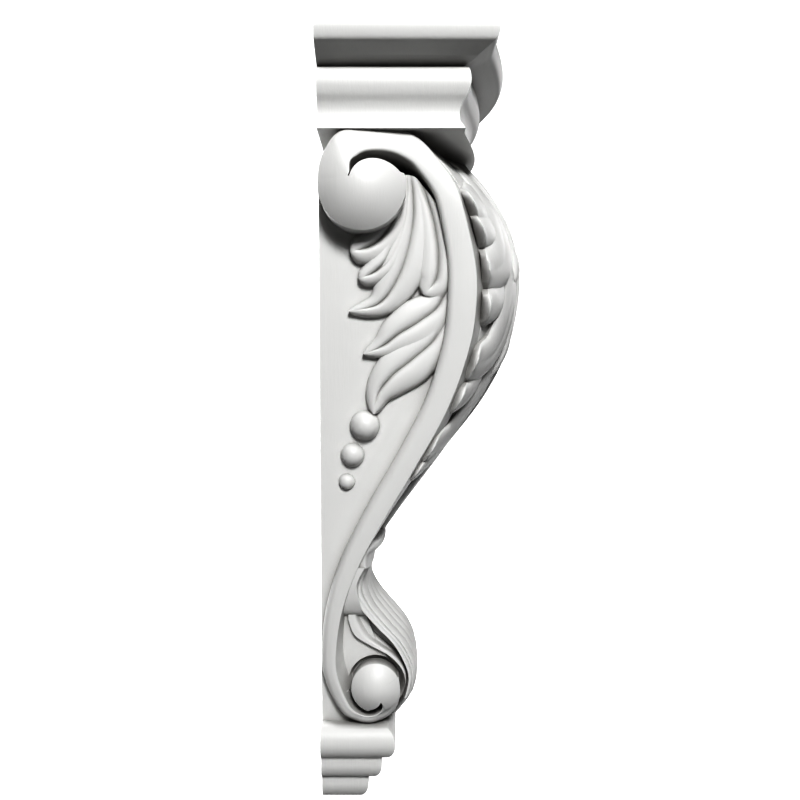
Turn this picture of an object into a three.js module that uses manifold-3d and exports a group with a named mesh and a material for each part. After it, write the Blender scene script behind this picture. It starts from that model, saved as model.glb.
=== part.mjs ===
// Carved wooden corbel: moulded cap with a bowed front, scrolled shaft with leaves, stepped base.
// Millimetres. Z is up, the wall is the plane Y = 0, the front faces -Y, and X = 0 is the middle.
import * as THREE from 'three';
import { mergeVertices, toCreasedNormals } from 'three/addons/utils/BufferGeometryUtils.js';
import Module from 'manifold-3d';

const wasm = await Module();
wasm.setup();

// Heights of the three parts of the corbel
const capHeight = 86.3;
const shaftHeight = 459.9;
const baseHeight = 63.8;

// Cap, measured at the nose of its top moulding
const capHalfWidth = 118.3;
const capCornerDepth = 135.2; // wall to the mitred corners
const capBow = 14.8; // how far the middle of the front stands out past the corners
const capFlat = 35; // straight length of the front beside each corner, before the bow starts

// Base, measured at the nose of its top moulding
const baseHalfWidth = 68.1;
const baseDepth = 58.8;
const baseStep = 8.3; // each lower moulding is this much smaller at its side
const baseStepDepth = 10.8; // and this much smaller at its front
const torusHeight = 26.2;
const ovoloHeight = 18.3;

// Shaft: half widths of the flat side panels, and how far the carving stands out from them
const shaftHalfTop = 81;
const shaftHalfBottom = 51.1;
const frontLeafThickness = 5;

const bandRound = 5.5; // bevel of the band's back edge
const bandCrown = 0.2; // how far the face swells where its two edges differ in height, as a share of that
const bury = 3; // how far a carved form runs into the body under it
const facetTolerance = 0.35; // facets that differ by less than this are joined
const weldDistance = 0.06; // corners nearer than this become one
const beadSink = 0.7; // how deep the middle of a bead lies in the panel
const upperEyeRise = 14;
const lowerEyeRise = 8;
const upperEyeLift = 19;
const lowerEyeLift = 11.4;
const recessWidth = 3.2; // groove cut round the lower eye
const recessDepth = 4;
const slotWeb = 50; // wood left in the middle between the two slots under the upper scroll
const sideLobeLift = 9;
const frontLobeLift = 8;
const ribWidth = 9;
const ribLift = 3.5;
const collarLift = 9;
const lowerLeafLift = 7;
const lowerLeafTuck = 4.5; // height in shares under which the leaf turns in behind the lower eyes
const lowerLeafRingGap = 2.5; // shares between the cross sections of the lower leaf
const lowerLeafFlutes = 4;
const lowerLeafFluteDepth = 1.6;
const rollLift = 9;
const webLift = 1;

// The carving is drawn on a grid of shares: one share is a hundredth of the shaft's height, counted
// forward from the wall and up from the base.
const share = shaftHeight / 100;

// Cap profile from the top down: [height below the top as a share of the cap, inset from the nose]
const capProfile = [
  [0, 15], [0.03, 8.5], [0.08, 4], [0.15, 1], [0.23, 0], [0.319, 2.2], [0.352, 6], [0.391, 12],
  [0.43, 19], [0.456, 26], [0.485, 21.5], [0.54, 20], [0.62, 19.7], [0.7, 21.9], [0.765, 25.6],
  [0.83, 27.6], [0.91, 27.4], [0.96, 25.4], [1, 23.7],
];

// Front edge of the flat side panel, and the front of the shaft at the middle: [up, forward]
const panelFront = curve([
  [0, 8], [3, 10.6], [6, 13], [10, 12], [14, 9.6], [18, 8], [22, 6.4], [27, 5.9], [31.8, 8.1], [38.7, 12.2],
  [45.6, 17.1], [52.4, 21], [59.2, 24.5], [66, 26.8], [72.7, 27.7], [81, 27.2], [89.9, 24.2], [93.8, 22], [97, 18.9],
  [100, 15.8],
]);
const middleFront = curve([
  [0, 13.8], [5, 16.3], [8.8, 16.8], [12.6, 15.3], [16.3, 12.2], [20.1, 9.3], [23.9, 8.2], [28.5, 9.4],
  [33.2, 11.5], [40.8, 16.8], [48.3, 22.9], [55.8, 28.7], [63.4, 32.9], [70.9, 35.1], [79.3, 35.9],
  [87.8, 34.1], [95.3, 29.8], [100, 25.6],
]);

// Roundness of the front across its width, from a ridge under 1 to a full curve over 1: [up, power]
const crownPower = curve([[0, 1.6], [40, 1.5], [80, 1.45], [92, 1.1], [100, 0.8]]);

// Middle of the band where the lower carving tucks in behind it: [up, forward]
const bandMiddle = curve([[3, 4], [8, 1.9], [12.5, 1.4], [20, 2.4], [28, 5], [36, 9.2]]);

// S band on each side, from the upper eye to the lower eye. Back edge and front edge as [forward, up],
// then how far the face stands out from the panel along each edge, and how far its front strip spreads.
const bandStations = [
  [5.2, 90.9, 0.3, 92.4, 29, 18, 0],
  [5.5, 92.1, 0.8, 95.4, 30, 18.5, 0],
  [5.6, 93.9, 2.0, 98.0, 25, 17, 0],
  [6.4, 95.1, 3.0, 99.3, 19, 14, 0],
  [7.8, 96.1, 4.7, 100.6, 16, 11, 0],
  [10.0, 96.4, 9.1, 101.8, 13.5, 6, 0],
  [12.4, 96.1, 13.7, 101.2, 12.5, 5, 0],
  [14.6, 95.1, 17.0, 98.8, 12.5, 8, 0.2],
  [16.1, 93.8, 19.5, 95.9, 13, 10, 0.4],
  [18.6, 90.5, 22.5, 91.6, 13.5, 12.5, 0.9],
  [19.9, 87.2, 24.0, 87.2, 14, 14, 1.3],
  [21.4, 79.0, 26.0, 78.4, 14, 14, 1.5],
  [21.4, 72.1, 26.2, 71.8, 14, 14, 1.6],
  [20.6, 65.2, 25.1, 64.4, 13.5, 13.5, 1.5],
  [17.7, 55.8, 21.6, 54.4, 13, 13, 1.2],
  [12.6, 45.9, 16.1, 44.4, 12.5, 12.5, 0.9],
  [7.5, 37.0, 11.0, 35.8, 12, 12, 0.4],
  [3.3, 28.4, 6.6, 27.6, 11.5, 11.5, 0.1],
  [0.9, 20.4, 3.8, 20.0, 11, 11, 0],
  [0.1, 12.5, 2.7, 12.5, 11, 11, 0],
  [0.7, 7.6, 3.1, 8.1, 11, 11, 0],
  [3.3, 2.2, 4.9, 3.7, 11, 11, 0],
  [6.0, 0.5, 6.7, 2.1, 11, 11, 0],
  [8.6, 0.1, 8.7, 1.8, 11, 12, 0],
  [11.3, 1.0, 10.2, 2.6, 11, 14, 0],
  [13.0, 3.1, 10.6, 3.9, 11, 16, 0],
  [13.6, 5.9, 10.3, 5.0, 11, 17, 0],
];

// Volute eyes: centre and radius in shares. The edge runs in from the full radius to the slit's tip.
const upperEye = {
  centre: [7.4, 90.5], radius: 7.16, lift: upperEyeLift, rise: upperEyeRise,
  slitAngle: 140, slitTurn: 140, slitShare: 0.34,
};
const lowerEye = {
  centre: [9.4, 6.7], radius: 4.16, lift: lowerEyeLift, rise: lowerEyeRise,
  slitAngle: -65, slitTurn: 40, slitShare: 0.54,
};

// Slot between the band and the leaf: the leaf's edge from the band up to the eye, [forward, up]
const slotLeafEdge = [[18.2, 90.2], [16.4, 92.4], [14.8, 93], [13.2, 92.6]];
const slotEnd = 87.6;

// Rounded back of the upper scroll, clear of the wall: centre and radius in shares
const scrollBack = { centre: [9.9, 93], radius: 9.2, foot: 91.5 };

// Beads under the side leaf: [forward, up, radius]
const beads = [[7.6, 51.5, 2.57], [5.5, 46.5, 2.06], [4.5, 41.9, 1.42]];

// Lobes of the side leaf, from the root to the tip as [forward, up], with their width in shares
const sideLobes = [
  { spine: [[14, 90.8], [13, 85.4], [10.6, 82.3], [8.2, 80.6], [5.5, 79.8]], width: 5, tip: 4 },
  { spine: [[14.6, 90.8], [13.7, 84.8], [11.8, 79.9], [9.6, 77.3], [6.9, 75.8]], width: 4.4, tip: 4 },
  { spine: [[15.4, 90.5], [15.6, 84.8], [14.6, 79.3], [12.2, 75.2], [9.1, 72.3], [5.4, 70.6]],
    width: 8, tip: 1.5 },
  { spine: [[16.9, 91.4], [18.8, 86.6], [19.7, 81.5], [19.6, 77.5], [18.8, 75.2], [17.2, 73.6]],
    width: 5.8, tip: 3.5 },
  { spine: [[22, 77], [20.2, 71.8], [16.9, 69], [13.4, 66.9], [10.4, 65.2], [7.8, 63.7]],
    width: 8, tip: 1.5 },
  { spine: [[21.6, 70.4], [19.4, 66], [15.9, 62.8], [12.6, 60], [10.2, 56.9], [9.1, 53.2]],
    width: 7.6, tip: 1.6 },
];

// Lobes of the front leaf on each side of the midrib, as [across, up] from the root to the tip
const frontLobes = [
  { spine: [[7, 96], [11.5, 92.8], [15.2, 88.4]], width: 5.4, tip: 3 },
  { spine: [[5.5, 92], [11, 87.4], [15.4, 84]], width: 4.6, tip: 3 },
  { spine: [[2.5, 88], [9, 82.8], [15.4, 78.4]], width: 7.6, tip: 3 },
  { spine: [[2.2, 80], [9, 75.6], [15.2, 71.5]], width: 8, tip: 3 },
  { spine: [[2, 72.4], [8.4, 67.4], [14.8, 63.4]], width: 9, tip: 3 },
  { spine: [[2, 63.2], [8, 59.6], [14.4, 56.6]], width: 6.6, tip: 3 },
  { spine: [[1.8, 56.2], [7.4, 52.6], [13.6, 50.2]], width: 7.4, tip: 3 },
  { spine: [[1.6, 49.4], [6.8, 46.8], [12.8, 45]], width: 5, tip: 3 },
  { spine: [[1.4, 45], [5, 40], [6.6, 32.6]], width: 7, tip: 2 },
];

// Lower leaf: back edges of its two layers as seen from the side, [up, forward]
const upperLayerEdge = curve([
  [0, 12], [3, 13.6], [5.8, 14.7], [8.6, 15], [11.6, 13.9], [14.3, 12.2], [16.9, 9.7], [20.1, 6.9], [22.4, 5.3],
  [25, 5.8], [27.2, 7.4],
]);
const lowerLayerEdge = curve([
  [0, 12], [3.6, 12.8], [6.2, 14], [8.6, 14.1], [10.4, 13.2], [12.1, 11.3], [13.6, 8.5], [15.3, 5.9], [18.1, 4.7],
]);

const paint = new THREE.MeshStandardMaterial({ color: 0xf2f1ec, roughness: 0.5, metalness: 0 });

// Smooth curve through rows of [position, value], for a position between the first and the last
function curve(rows) {
  return (position) => {
    const last = rows.length - 1;
    let i = 0;
    while (i < last - 1 && position > rows[i + 1][0]) i += 1;
    const slope = (k) => {
      const a = rows[Math.max(k - 1, 0)];
      const b = rows[Math.min(k + 1, last)];
      return (b[1] - a[1]) / (b[0] - a[0]);
    };
    const [x0, y0] = rows[i];
    const [x1, y1] = rows[i + 1];
    const t = Math.min(Math.max((position - x0) / (x1 - x0), 0), 1);
    const h = (x1 - x0) * t * (1 - t);
    return y0 + (y1 - y0) * t * t * (3 - 2 * t) + h * (slope(i) * (1 - t) - slope(i + 1) * t);
  };
}

// Smooth path through points of any dimension, sampled at the given number of steps
function path(points, steps) {
  const last = points.length - 1;
  const at = (i) => points[Math.min(Math.max(i, 0), last)];
  return Array.from({ length: steps + 1 }, (_, step) => {
    const place = (step / steps) * last;
    const i = Math.min(Math.floor(place), last - 1);
    const t = place - i;
    return at(i).map((p1, k) => {
      const [p0, p2, p3] = [at(i - 1)[k], at(i + 1)[k], at(i + 2)[k]];
      const linear = p2 - p0;
      const square = 2 * p0 - 5 * p1 + 4 * p2 - p3;
      const cube = 3 * (p1 - p2) + p3 - p0;
      return p1 + 0.5 * t * (linear + t * (square + t * cube));
    });
  });
}

// Evenly spaced numbers from a to b
function steps(a, b, count) {
  return Array.from({ length: count + 1 }, (_, i) => a + ((b - a) * i) / count);
}

// Closed solid through rings of points that all have the same count
function loft(rings) {
  const count = rings[0].length;
  const positions = rings.flat(2);
  const index = [];
  for (let r = 0; r < rings.length - 1; r += 1) {
    for (let i = 0; i < count; i += 1) {
      const next = (i + 1) % count;
      const [a, b] = [r * count + i, r * count + next];
      index.push(a, b, b + count, a, b + count, a + count);
    }
  }
  const addEnd = (ring, start, reverse) => {
    for (const triangle of THREE.ShapeUtils.triangulateShape(flatten(ring), [])) {
      const corners = triangle.map((k) => start + k);
      index.push(...(reverse ? corners.reverse() : corners));
    }
  };
  addEnd(rings[0], 0, true);
  addEnd(rings.at(-1), (rings.length - 1) * count, false);
  return solid(positions, index);
}

// A ring seen along its own normal, with its turn kept counterclockwise
function flatten(ring) {
  const points = ring.map((p) => new THREE.Vector3(...p));
  const normal = new THREE.Vector3();
  points.forEach((p, i) => normal.add(p.clone().cross(points[(i + 1) % points.length])));
  const turn = new THREE.Quaternion().setFromUnitVectors(normal.normalize(), new THREE.Vector3(0, 0, 1));
  return points.map((p) => {
    const flat = p.applyQuaternion(turn);
    return new THREE.Vector2(flat.x, flat.y);
  });
}

// Solid for joining and cutting, turned the right way out
function solid(positions, index, nearness = 1e-4) {
  const geometry = new THREE.BufferGeometry();
  geometry.setAttribute('position', new THREE.Float32BufferAttribute(positions, 3));
  geometry.setIndex(index);
  const merged = mergeVertices(geometry, nearness);
  const points = merged.attributes.position.array;
  const order = Array.from(merged.index.array);
  if (signedVolume(points, order) < 0) order.reverse();
  return new wasm.Manifold(new wasm.Mesh({
    numProp: 3,
    vertProperties: new Float32Array(points),
    triVerts: new Uint32Array(order),
  }));
}

function signedVolume(points, order) {
  const corner = (k) => new THREE.Vector3().fromArray(points, order[k] * 3);
  let total = 0;
  for (let i = 0; i < order.length; i += 3) {
    total += corner(i).dot(corner(i + 1).cross(corner(i + 2)));
  }
  return total;
}

const join = (solids) => solids.reduce((whole, one) => whole.add(one));
const bothSides = (make) => join([make(1), make(-1)]);

// Places on the body
const middleOfHeight = (capHeight + shaftHeight + baseHeight) / 2;
const shaftFoot = baseHeight - middleOfHeight;
const shaftTop = shaftFoot + shaftHeight;
const heightAt = (up) => shaftFoot + up * share;
const halfWidthAt = (up) => shaftHalfBottom + ((shaftHalfTop - shaftHalfBottom) * up) / 100;

// A point on a side panel, lifted away from it
const onSide = (side) => ([forward, up], lift) => [
  side * (halfWidthAt(up) + lift), -forward * share, heightAt(up),
];

// How far forward the front of the body is at a place across its width
function frontAt(across, up, thickness) {
  const edge = panelFront(up);
  const reach = middleFront(up) - thickness / share - edge;
  const out = Math.min(Math.abs(across) * share / halfWidthAt(up), 1);
  return edge + reach * (1 - out ** crownPower(up));
}

// A point on the front of the body, lifted away from it and a little sideways
const onFront = (side) => ([across, up], lift) => {
  const lean = (across * share / halfWidthAt(up)) * (Math.PI / 4);
  return [
    side * (across * share + lift * Math.sin(lean)),
    -frontAt(across, up, frontLeafThickness) * share - lift * Math.cos(lean),
    heightAt(up),
  ];
};

function shaftBody() {
  const rings = steps(-1, 101, 20).map((up) => {
    const half = halfWidthAt(up);
    const thickness = up > 28 ? frontLeafThickness : frontLeafThickness + lowerLeafLift;
    const front = steps(-1, 1, 10).map((out) => {
      const across = (out * half) / share;
      return [out * half, -frontAt(across, up, thickness) * share, heightAt(up)];
    });
    return [[-half, 0, heightAt(up)], ...front, [half, 0, heightAt(up)]];
  });
  return loft(rings);
}

// Outline of the cap at an inset from its nose
function capOutline(inset, z) {
  const half = capHalfWidth - inset;
  const bowed = capHalfWidth - capFlat;
  const front = steps(-1, 1, 14).map((out) => {
    const x = out * half;
    const turn = Math.max(0, 1 - Math.abs(x) / bowed);
    const bow = capBow * Math.sin((Math.PI / 2) * turn ** 1.07);
    return [x, -(capCornerDepth - inset + bow), z];
  });
  return [[-half, 0, z], ...front, [half, 0, z]];
}

function cap() {
  const top = shaftTop + capHeight;
  return loft(capProfile.map(([down, inset]) => capOutline(inset, top - down * capHeight)));
}

// One base moulding, from the bottom up, as rows of [height, inset]
function moulding(foot, half, depth, rows) {
  return loft(rows.map(([height, inset]) => {
    const z = foot + height;
    const x = half - inset;
    const y = -(depth - inset);
    return [[-x, 0, z], [-x, y, z], [x, y, z], [x, 0, z]];
  }));
}

function base() {
  const overlap = 1;
  const torusInset = 11.2;
  const radius = torusHeight / 2;
  const torus = steps(-90, 90, 8).map((angle) => {
    const turn = THREE.MathUtils.degToRad(angle);
    return [radius + radius * Math.sin(turn), torusInset * (1 - Math.cos(turn))];
  });
  const fillet = 5.8;
  const drop = (height) => steps(0, 90, 5).map((angle) => {
    const turn = THREE.MathUtils.degToRad(angle);
    const round = height - fillet;
    return [round * (1 - Math.cos(turn)), round * (1 - Math.sin(turn)) * 0.8];
  });
  const ovolo = (height) => [...drop(height), [height + overlap, 0]];
  const lowestHeight = baseHeight - torusHeight - ovoloHeight;
  const foot = -middleOfHeight;
  return join([
    moulding(foot + lowestHeight + ovoloHeight, baseHalfWidth, baseDepth, torus),
    moulding(foot + lowestHeight, baseHalfWidth - baseStep, baseDepth - baseStepDepth, ovolo(ovoloHeight)),
    moulding(foot, baseHalfWidth - 2 * baseStep, baseDepth - 2 * baseStepDepth, ovolo(lowestHeight)),
  ]);
}

function band(side) {
  const place = onSide(side);
  const rings = path(bandStations, 38).map(([backF, backU, frontF, frontU, backLift, frontLift, spread]) => {
    const width = Math.hypot(frontF - backF, frontU - backU);
    const across = (t) => [backF + (frontF - backF) * t, backU + (frontU - backU) * t];
    const round = bandRound / share / width;
    return [
      place(across(0), -bury),
      place(across(0), backLift - bandRound),
      place(across(round), backLift),
      place(across(0.55), (backLift + frontLift) / 2 + bandCrown * Math.abs(backLift - frontLift)),
      place(across(1), frontLift),
      place(across(1 + spread / width), -bury),
    ];
  });
  return loft(rings);
}

// Edge of a volute eye, as a share of its full radius, at an angle turned back from the slit's tip
function eyeEdge(slitTurn, slitShare, turned) {
  const along = turned / slitTurn;
  return along < 1 ? slitShare + (0.93 - slitShare) * along : 1;
}

// Domed eye of a volute
function eye(side, { centre, radius, lift, rise, slitAngle, slitTurn, slitShare }) {
  const ring = (scale, sunk) => steps(0, 360, 22).map((turned) => {
    const reach = eyeEdge(slitTurn, slitShare, turned) * scale;
    const turn = THREE.MathUtils.degToRad(slitAngle - turned);
    const forward = centre[0] + radius * reach * Math.cos(turn);
    const up = centre[1] + radius * reach * Math.sin(turn);
    const height = sunk ? -bury : lift + rise * (1 - reach * reach);
    return [side * (halfWidthAt(centre[1]) + height), -forward * share, heightAt(up)];
  });
  return loft([ring(1, true), ring(1), ring(0.72), ring(0.4), ring(0.1)]);
}

// A flat outline on the side panel, as a prism between two distances from the middle
function prism(outline, near, far, side) {
  const ring = (x) => outline.map(([forward, up]) => [side * x, -forward * share, heightAt(up)]);
  return loft([ring(near), ring(far)]);
}

// Deep slot between the upper scroll and its eye, which runs out beside the leaf
function slot(side) {
  const bandEdge = path(bandStations, 42).map(([forward, up]) => [forward, up]);
  const end = bandEdge.findIndex(([, up], i) => i > 9 && up < slotEnd);
  const eyeEdges = steps(0, 120, 8).map((turned) => {
    const reach = upperEye.radius * eyeEdge(upperEye.slitTurn, upperEye.slitShare, turned);
    const turn = THREE.MathUtils.degToRad(upperEye.slitAngle - turned);
    return [upperEye.centre[0] + reach * Math.cos(turn), upperEye.centre[1] + reach * Math.sin(turn)];
  });
  const outline = [...bandEdge.slice(2, end), ...slotLeafEdge, ...eyeEdges.reverse()];
  return prism(outline, slotWeb / 2, shaftHalfTop + 2 * bury, side);
}

// Gap between the wall and the rounded back of the upper scroll
function scrollGap() {
  const { centre, radius, foot } = scrollBack;
  const arc = steps(189, 100, 12).map((angle) => {
    const turn = THREE.MathUtils.degToRad(angle);
    return [centre[0] + radius * Math.cos(turn), centre[1] + radius * Math.sin(turn)];
  });
  return prism([[-1, foot], ...arc, [-1, 104]], -shaftHalfTop - bury, shaftHalfTop + bury, 1);
}

function bead(side, [forward, up, radius]) {
  const sphere = new THREE.SphereGeometry(radius * share, 10, 6);
  sphere.deleteAttribute('uv');
  sphere.deleteAttribute('normal');
  const middle = onSide(side)([forward, up], -beadSink);
  const moved = sphere.translate(...middle);
  return solid(moved.attributes.position.array, Array.from(moved.index.array));
}

// A carved lobe along its spine: rounded across, with one groove along its middle
function lobe(place, { spine, width, tip }, lift) {
  const count = spine.length + 1;
  const stations = path(spine, count);
  const rings = stations.map(([a, b], i) => {
    const t = i / count;
    const before = stations[Math.max(i - 1, 0)];
    const after = stations[Math.min(i + 1, count)];
    const along = new THREE.Vector2(after[0] - before[0], after[1] - before[1]).normalize();
    const grow = 0.4 + 0.6 * Math.sin((Math.PI / 2) * Math.min(t / 0.5, 1));
    const close = (1 - Math.max((t - 0.4) / 0.61, 0) ** tip) ** 0.6;
    const half = (width / 2) * grow * close;
    const top = lift * (0.55 + 0.45 * close) * (0.8 + 0.2 * grow);
    const across = (s) => [a - along.y * half * s, b + along.x * half * s];
    return [
      place(across(-1), -bury),
      ...[[-0.95, 0.5], [-0.55, 1], [0, 0.75], [0.55, 1], [0.95, 0.5]].map(([s, h]) => place(across(s), top * h)),
      place(across(1), -bury),
    ];
  });
  return loft(rings);
}

const sideLeaf = (side) => join(sideLobes.map((one) => lobe(onSide(side), one, sideLobeLift)));
const frontLeaf = (side) => join(frontLobes.map((one) => lobe(onFront(side), one, frontLobeLift)));

// Raised rib down the middle of the front leaf
function midrib() {
  const rings = steps(30, 101, 14).map((up) => {
    const half = (ribWidth / 2) * (0.5 + up / 200);
    const section = [[-1, -bury], [-1, 0.5], [-0.45, ribLift + 3], [0.45, ribLift + 3], [1, 0.5], [1, -bury]];
    return section.map(([out, lift]) => onFront(1)([(out * half) / share, up], lift));
  });
  return loft(rings);
}

// Roll and cup where the front leaf ends
function collar() {
  const rows = [[27.3, 5.6, 7.6], [29, 6.4, 9.2], [30, 7, 10.5], [30.6, 7.4, 10.8], [31.2, 7.6, 10.5], [31.9, 7.6, 9.6]];
  return loft(rows.map(([up, edge, middle]) => {
    const half = halfWidthAt(up) + collarLift;
    const front = steps(-1, 1, 12).map((out) => {
      const forward = edge + (middle - edge) * (1 - Math.abs(out) ** 3.5);
      return [out * half, -forward * share, heightAt(up)];
    });
    const back = -bandMiddle(up) * share;
    return [[-half, back, heightAt(up)], ...front, [half, back, heightAt(up)]];
  }));
}

// One layer of the lower leaf: a fluted sheet that curls over the lower volutes
function lowerLayer(edgeAt, from, to, lift, inset) {
  const rings = steps(from, to, Math.round((to - from) / lowerLeafRingGap)).map((up) => {
    const tuck = Math.max(lowerLeafTuck - up, 0) * share;
    const half = halfWidthAt(up) + lift - tuck;
    const edge = edgeAt(up);
    const reach = Math.max(middleFront(up) - inset - edge, 0.4);
    const front = steps(-90, 90, 14).map((angle) => {
      const turn = THREE.MathUtils.degToRad(angle);
      const flute = 1 - Math.abs(Math.cos(lowerLeafFlutes * turn));
      const crown = Math.cos(turn) ** 0.75;
      const out = Math.sign(turn) * Math.abs(Math.sin(turn)) ** 0.75;
      return [
        half * out - Math.sin(turn) * flute * lowerLeafFluteDepth,
        -(edge + reach * crown) * share + Math.cos(turn) * flute * lowerLeafFluteDepth,
        heightAt(up),
      ];
    });
    const underside = -(edge - 0.4) * share;
    const back = -bandMiddle(up) * share;
    const root = halfWidthAt(up) - bury - tuck;
    const inner = [[root, underside], [root, back], [-root, back], [-root, underside]];
    return [...front, ...inner.map(([x, y]) => [x, y, heightAt(up)])];
  });
  return loft(rings);
}

// Rolled side of the leaf between the band and the lower leaf, and the web under it
function web() {
  const slab = (rows) => loft(rows.map(([up, lift, front]) => {
    const x = halfWidthAt(up) + lift;
    const z = heightAt(up);
    const back = -bandMiddle(up) * share;
    return [[-x, back, z], [-x, -front * share, z], [x, -front * share, z], [x, back, z]];
  }));
  const roll = slab([
    [18.7, rollLift * 0.2, 7.6], [19.6, rollLift * 0.5, 7.2], [21.5, rollLift * 0.8, 6.6],
    [24, rollLift * 0.95, 6], [27.4, rollLift, 6.6],
  ]);
  const plate = slab([[4, webLift, 12], [8, webLift, 12.6], [12, webLift, 11], [15.3, webLift, 7.5], [19, webLift, 5.5]]);
  return roll.add(plate);
}

// Round recess cut into each side about the lower eye
function recess(side) {
  const place = onSide(side);
  const ring = (lift, width) => steps(0, 360, 24).slice(0, -1).map((angle) => {
    const turn = THREE.MathUtils.degToRad(angle);
    const reach = lowerEye.radius + width / share;
    const spot = [lowerEye.centre[0] + reach * Math.cos(turn), lowerEye.centre[1] + 0.3 + reach * Math.sin(turn)];
    return place(spot, lift);
  });
  return loft([ring(-recessDepth, 0.2), ring(lowerLeafLift, recessWidth), ring(6 * lowerLeafLift, recessWidth)]);
}

function carvedBlock() {
  const lowerLeaf = join([
    lowerLayer(upperLayerEdge, 0, 27.2, lowerLeafLift, 0),
    lowerLayer(lowerLayerEdge, 0, 18.1, lowerLeafLift * 0.65, 1),
  ]);
  const shaft = shaftBody().subtract(bothSides(slot)).subtract(scrollGap());
  const body = join([shaft, web(), lowerLeaf]).subtract(bothSides(recess));
  return join([
    body,
    cap(),
    base(),
    bothSides(band),
    bothSides((side) => eye(side, upperEye)),
    bothSides((side) => eye(side, lowerEye)),
    bothSides(sideLeaf),
    bothSides(frontLeaf),
    bothSides((side) => join(beads.map((one) => bead(side, one)))),
    midrib(),
    collar(),
  ]);
}

// The same solid without its shortest edges
function weld(manifold) {
  const { vertProperties, triVerts } = manifold.getMesh();
  return solid(vertProperties, Array.from(triVerts), weldDistance);
}

function mesh(name, manifold, material) {
  const { vertProperties, triVerts } = manifold.getMesh();
  const geometry = new THREE.BufferGeometry();
  geometry.setAttribute('position', new THREE.BufferAttribute(vertProperties, 3));
  geometry.setIndex(new THREE.BufferAttribute(triVerts, 1));
  const made = new THREE.Mesh(toCreasedNormals(geometry, Math.PI / 6), material);
  made.name = name;
  return made;
}

const group = new THREE.Group();
group.name = 'corbel_bracket';
group.add(mesh('corbel', weld(carvedBlock().simplify(facetTolerance)), paint));

export default group;
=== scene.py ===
import math

import bmesh
import bpy
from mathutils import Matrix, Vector


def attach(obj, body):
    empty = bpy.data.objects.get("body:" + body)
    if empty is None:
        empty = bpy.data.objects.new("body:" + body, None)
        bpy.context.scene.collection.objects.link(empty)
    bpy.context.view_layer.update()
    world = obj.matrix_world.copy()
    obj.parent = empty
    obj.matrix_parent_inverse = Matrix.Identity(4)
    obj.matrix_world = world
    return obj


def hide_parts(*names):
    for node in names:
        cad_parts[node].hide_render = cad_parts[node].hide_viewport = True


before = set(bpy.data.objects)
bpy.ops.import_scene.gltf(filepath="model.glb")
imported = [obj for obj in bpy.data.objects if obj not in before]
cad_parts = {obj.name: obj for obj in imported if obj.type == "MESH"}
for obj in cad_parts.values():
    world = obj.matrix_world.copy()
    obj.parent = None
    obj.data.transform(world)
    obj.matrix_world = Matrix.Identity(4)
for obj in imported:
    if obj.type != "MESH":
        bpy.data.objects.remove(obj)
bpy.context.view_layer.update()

# Sizes are in millimetres, with Z up, the wall at Y = 0 and the front towards -Y.
# The carving is drawn on a grid of shares: one share is a hundredth of the shaft's height,
# counted forward from the wall and up from the base.

block = {
    "capHeight": 86.3, "shaftHeight": 459.9, "baseHeight": 63.8,
    "halfTop": 81, "halfBottom": 51.1,  # half widths of the flat side panels
    "frontLeaf": 5,  # thickness of the carving on the front
    "lowerLeaf": 7,
    "bury": 3,  # how far a carved form runs into the body under it
    "lean": 45,  # degrees by which the carving on the front turns outwards at the sides
}
millimetre = 0.001  # in Blender's metres
share = block["shaftHeight"] / 100
middleOfHeight = (block["capHeight"] + block["shaftHeight"] + block["baseHeight"]) / 2
shaftFoot = block["baseHeight"] - middleOfHeight
shaftTop = shaftFoot + block["shaftHeight"]


def curve(rows):  # smooth curve through [position, value] rows
    last = len(rows) - 1

    def slope(k):
        (x0, y0), (x1, y1) = rows[max(k - 1, 0)], rows[min(k + 1, last)]
        return (y1 - y0) / (x1 - x0)

    def at(position):
        i = 0
        while i < last - 1 and position > rows[i + 1][0]:
            i += 1
        (x0, y0), (x1, y1) = rows[i], rows[i + 1]
        t = min(max((position - x0) / (x1 - x0), 0), 1)
        h = (x1 - x0) * t * (1 - t)
        return y0 + (y1 - y0) * t * t * (3 - 2 * t) + h * (slope(i) * (1 - t) - slope(i + 1) * t)

    return at


def path(points, count):  # smooth (Catmull-Rom) path through points of any dimension
    last = len(points) - 1
    out = []
    for step in range(count + 1):
        place = step / count * last
        i = min(int(place), last - 1)
        t = place - i
        row = [points[min(max(k, 0), last)] for k in (i - 1, i, i + 1, i + 2)]
        out.append([
            b + 0.5 * t * (c - a + t * (2 * a - 5 * b + 4 * c - d + t * (3 * (b - c) + d - a)))
            for a, b, c, d in zip(*row)
        ])
    return out


def steps(a, b, count):  # evenly spaced values with both ends
    return [a + (b - a) * i / count for i in range(count + 1)]


def ease(t):  # slow start and slow end
    t = min(max(t, 0), 1)
    return t * t * (3 - 2 * t)


def heightAt(up):
    return shaftFoot + up * share


def halfWidthAt(up):
    return block["halfBottom"] + (block["halfTop"] - block["halfBottom"]) * up / 100


def onSide(side):  # a point on a side panel, lifted away from it
    return lambda forward, up, lift: (side * (halfWidthAt(up) + lift), -forward * share, heightAt(up))


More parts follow.
